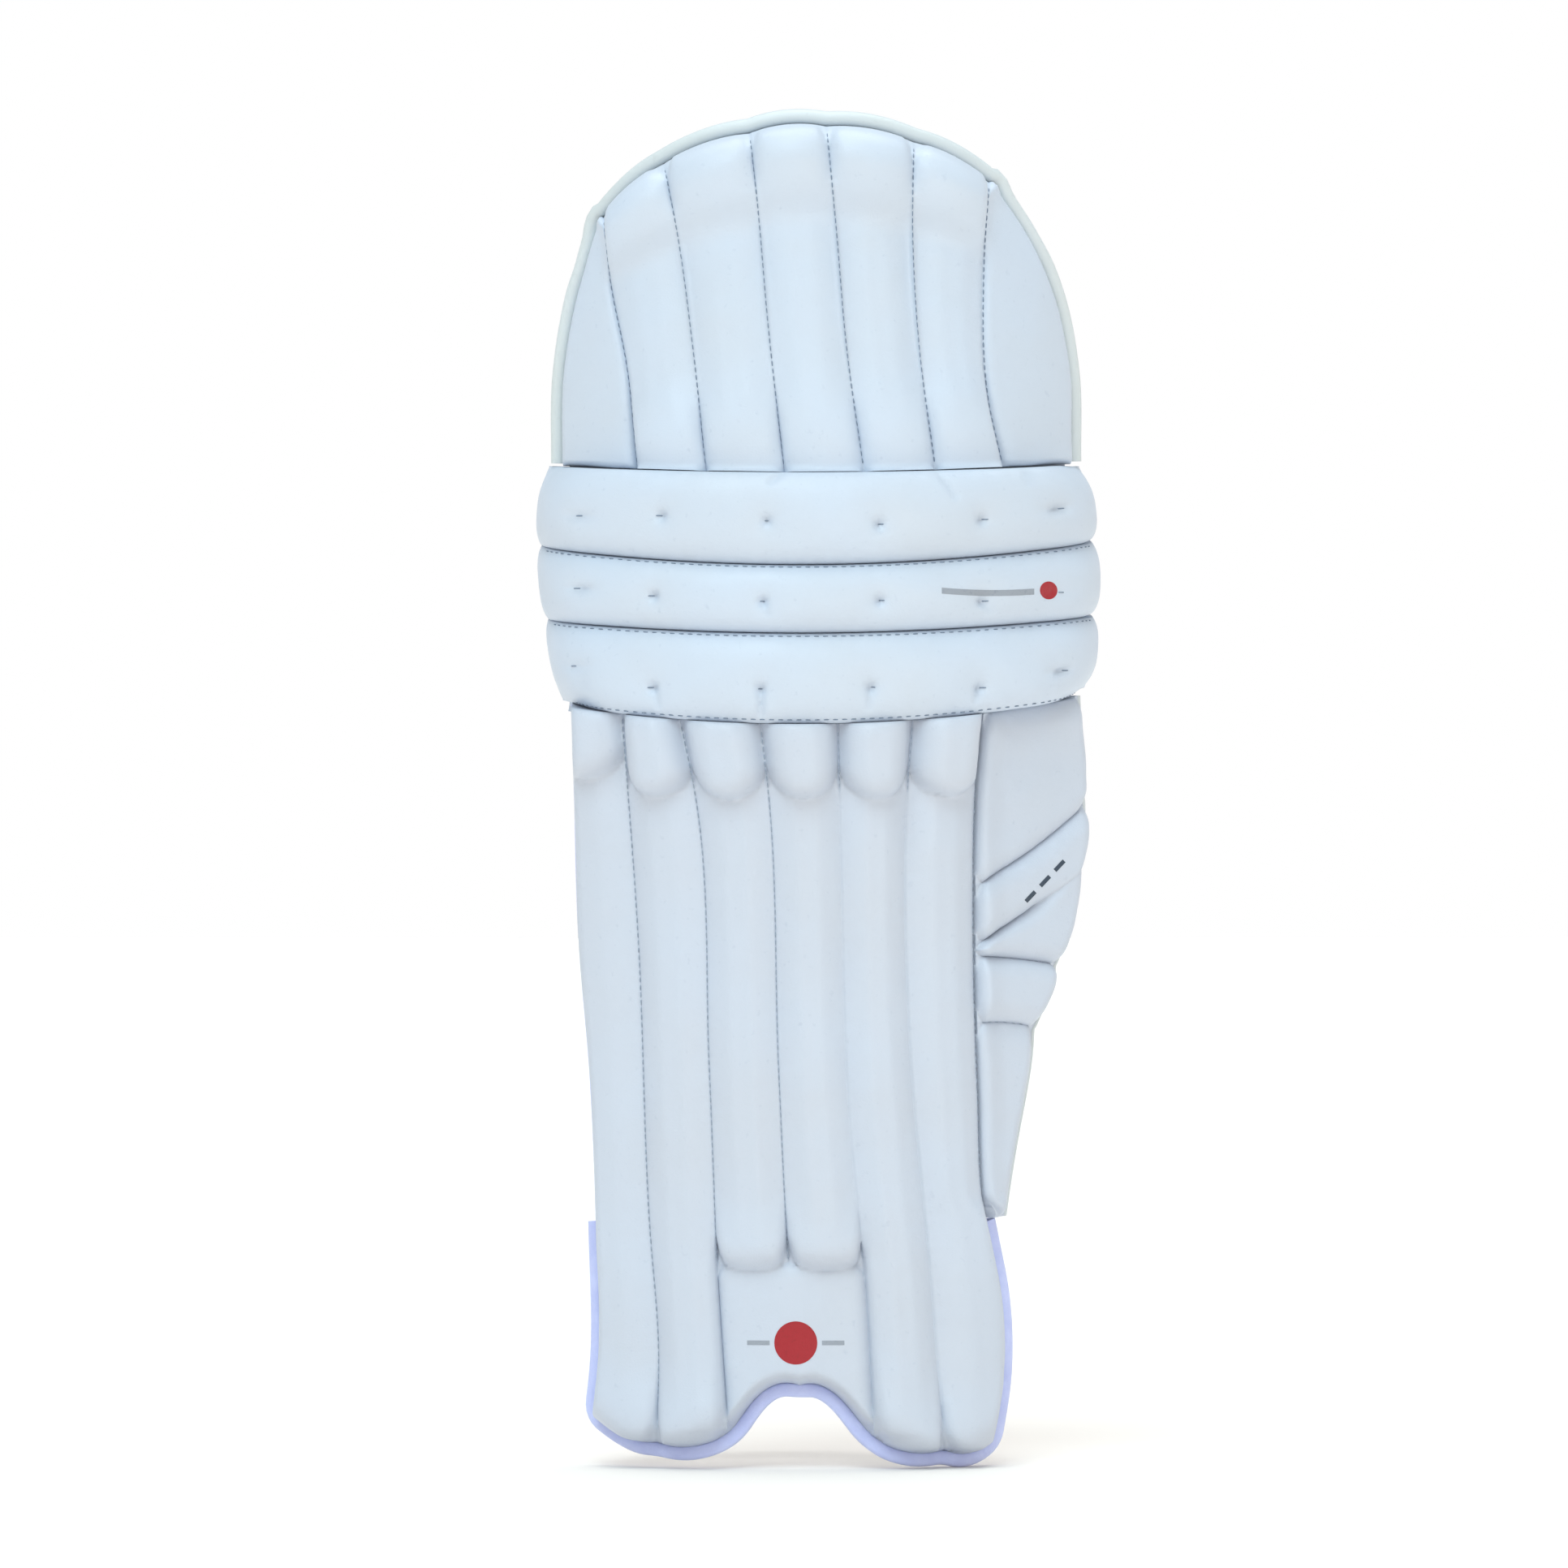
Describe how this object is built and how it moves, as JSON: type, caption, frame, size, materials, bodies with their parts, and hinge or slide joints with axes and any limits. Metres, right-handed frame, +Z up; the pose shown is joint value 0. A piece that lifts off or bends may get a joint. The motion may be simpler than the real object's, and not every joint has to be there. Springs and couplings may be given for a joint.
{
  "type": "cricket leg pad",
  "caption": "Cricket batting leg pad with upright padded batons, a three-roll knee, a top flap, a folding side wing, an arched foot and hook-and-loop straps.",
  "frame": {"origin": "on the axis of the wearer's shin, level with the pad's lowest edge", "axes": "+Z up the leg, -Y out of the front of the pad, +X towards the side wing, which is the outside of a left leg"},
  "size_m": [0.3031, 0.2054, 0.7277],
  "materials": {
    "pu_leather": "soft satin grained polyurethane leather",
    "foam": "high density foam",
    "backing_fabric": "matt woven cotton and polyester",
    "lining_fabric": "open air mesh",
    "cushion_fabric": "brushed towelling",
    "piping_leather": "smooth folded leather",
    "binding_suede": "brushed suede",
    "strap_webbing": "ribbed elastic webbing",
    "loop_pile": "loop pile",
    "hook_tape": "moulded hook tape"
  },
  "bodies": {
    "shin": {"shin_facing_left": "pu_leather", "shin_facing_middle": "pu_leather", "shin_facing_right": "pu_leather", "instep_facing": "pu_leather", "instep_pad": "foam", "shin_baton_1": "foam", "shin_baton_2": "foam", "shin_baton_3": "foam", "shin_baton_4": "foam", "shin_baton_5": "foam", "shin_baton_6": "foam", "shin_head_pad_1": "foam", "shin_head_pad_2": "foam", "shin_head_pad_3": "foam", "shin_head_pad_4": "foam", "shin_head_pad_5": "foam", "shin_head_pad_6": "foam", "shin_backing": "backing_fabric", "shin_lining": "lining_fabric", "shin_cushion_left": "cushion_fabric", "shin_cushion_right": "cushion_fabric", "foot_binding": "binding_suede", "ankle_strap_tab": "loop_pile", "calf_strap_tab": "loop_pile"},
    "knee_lower": {"knee_roll_lower_cover": "pu_leather", "knee_roll_lower_core": "foam", "knee_roll_lower_backing": "backing_fabric", "knee_cushion_lower": "cushion_fabric", "knee_strap_tab": "loop_pile"},
    "knee_middle": {"knee_roll_middle_cover": "pu_leather", "knee_roll_middle_core": "foam", "knee_roll_middle_backing": "backing_fabric", "knee_cushion_middle": "cushion_fabric"},
    "knee_upper": {"knee_roll_upper_cover": "pu_leather", "knee_roll_upper_core": "foam", "knee_roll_upper_backing": "backing_fabric", "knee_cushion_upper": "cushion_fabric"},
    "top_flap": {"top_flap_facing": "pu_leather", "top_flap_pad_left": "foam", "top_flap_baton_1": "foam", "top_flap_baton_2": "foam", "top_flap_baton_3": "foam", "top_flap_baton_4": "foam", "top_flap_baton_5": "foam", "top_flap_pad_right": "foam", "top_flap_backing": "backing_fabric", "top_flap_piping": "piping_leather"},
    "wing": {"wing_facing": "pu_leather", "wing_pad_1": "foam", "wing_pad_2": "foam", "wing_pad_3": "foam", "wing_pad_4": "foam", "wing_pad_5": "foam", "wing_backing": "backing_fabric"},
    "ankle_strap": {"ankle_strap": "strap_webbing", "ankle_strap_hook": "hook_tape"},
    "calf_strap": {"calf_strap": "strap_webbing", "calf_strap_hook": "hook_tape"},
    "knee_strap": {"knee_strap": "strap_webbing", "knee_strap_hook": "hook_tape"}
  },
  "joints": [
    {"name": "knee_lower_flex", "type": "hinge", "parent": "shin", "child": "knee_lower", "pos_m": [0, 0.016, 0.4158], "axis": [1, 0, 0], "range_deg": [-8, 0]},
    {"name": "knee_middle_flex", "type": "hinge", "parent": "knee_lower", "child": "knee_middle", "pos_m": [0, 0.019, 0.4581], "axis": [1, 0, 0], "range_deg": [-8, 0]},
    {"name": "knee_upper_flex", "type": "hinge", "parent": "knee_middle", "child": "knee_upper", "pos_m": [0, 0.019, 0.499], "axis": [1, 0, 0], "range_deg": [-8, 0]},
    {"name": "top_flap_flex", "type": "hinge", "parent": "knee_upper", "child": "top_flap", "pos_m": [0, 0.015, 0.5395], "axis": [1, 0, 0], "range_deg": [-10, 0]},
    {"name": "wing_fold", "type": "hinge", "parent": "shin", "child": "wing", "pos_m": [0.097, -0.0514, 0.267], "axis": [0, 0, 1], "range_deg": [0, 30]},
    {"name": "ankle_strap_open", "type": "hinge", "parent": "shin", "child": "ankle_strap", "pos_m": [-0.10176, -0.04251, 0.09], "axis": [0, 0, 1], "range_deg": [0, 50]},
    {"name": "calf_strap_open", "type": "hinge", "parent": "shin", "child": "calf_strap", "pos_m": [-0.10176, -0.04239, 0.24], "axis": [0, 0, 1], "range_deg": [0, 50]},
    {"name": "knee_strap_open", "type": "hinge", "parent": "knee_lower", "child": "knee_strap", "pos_m": [-0.11904, -0.0255, 0.427], "axis": [0, 0, 1], "range_deg": [0, 38]}
  ],
  "couplings": [
    {"joint": "knee_middle_flex", "follows": "knee_lower_flex", "ratio": 1},
    {"joint": "knee_upper_flex", "follows": "knee_lower_flex", "ratio": 1}
  ]
}
